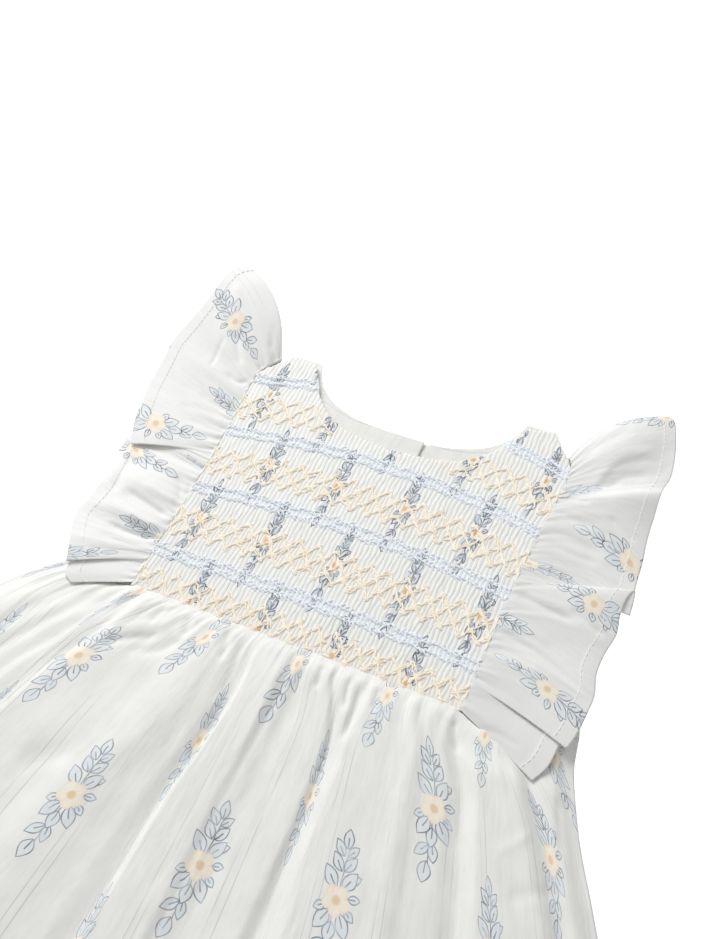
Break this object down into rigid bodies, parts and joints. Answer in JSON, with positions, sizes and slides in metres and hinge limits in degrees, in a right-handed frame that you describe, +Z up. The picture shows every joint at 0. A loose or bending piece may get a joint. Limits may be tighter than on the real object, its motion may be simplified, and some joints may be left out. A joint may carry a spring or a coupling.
{
  "type": "toddler dress laid flat",
  "caption": "Child's cotton dress laid flat: smocked front bodice, fluttering cap sleeves, gathered skirt and a lapped back opening.",
  "frame": {"origin": "bottom centre of the bounding box, on the surface that the dress lies on", "axes": "+Y from the hem towards the neck, +X to the right as the dress lies face up, +Z up from the surface"},
  "size_m": [0.52, 0.5384, 0.0264],
  "materials": {
    "printed_cotton": "soft off-white voile with a pale grey-blue and peach sprig print",
    "plain_cotton": "soft off-white voile, inner face",
    "smocked_cotton": "pleated off-white voile",
    "blue_thread": "soft cotton embroidery thread",
    "peach_thread": "soft cotton embroidery thread",
    "white_thread": "matt sewing thread"
  },
  "bodies": {
    "root": {"front_smocked_panel": "smocked_cotton", "front_side_panel_a": "plain_cotton", "front_side_panel_b": "plain_cotton", "back_bodice_over": "plain_cotton", "back_bodice_under": "plain_cotton", "skirt_front": "printed_cotton", "skirt_back": "printed_cotton", "flutter_a": "printed_cotton", "flutter_b": "printed_cotton"}
  },
  "joints": []
}
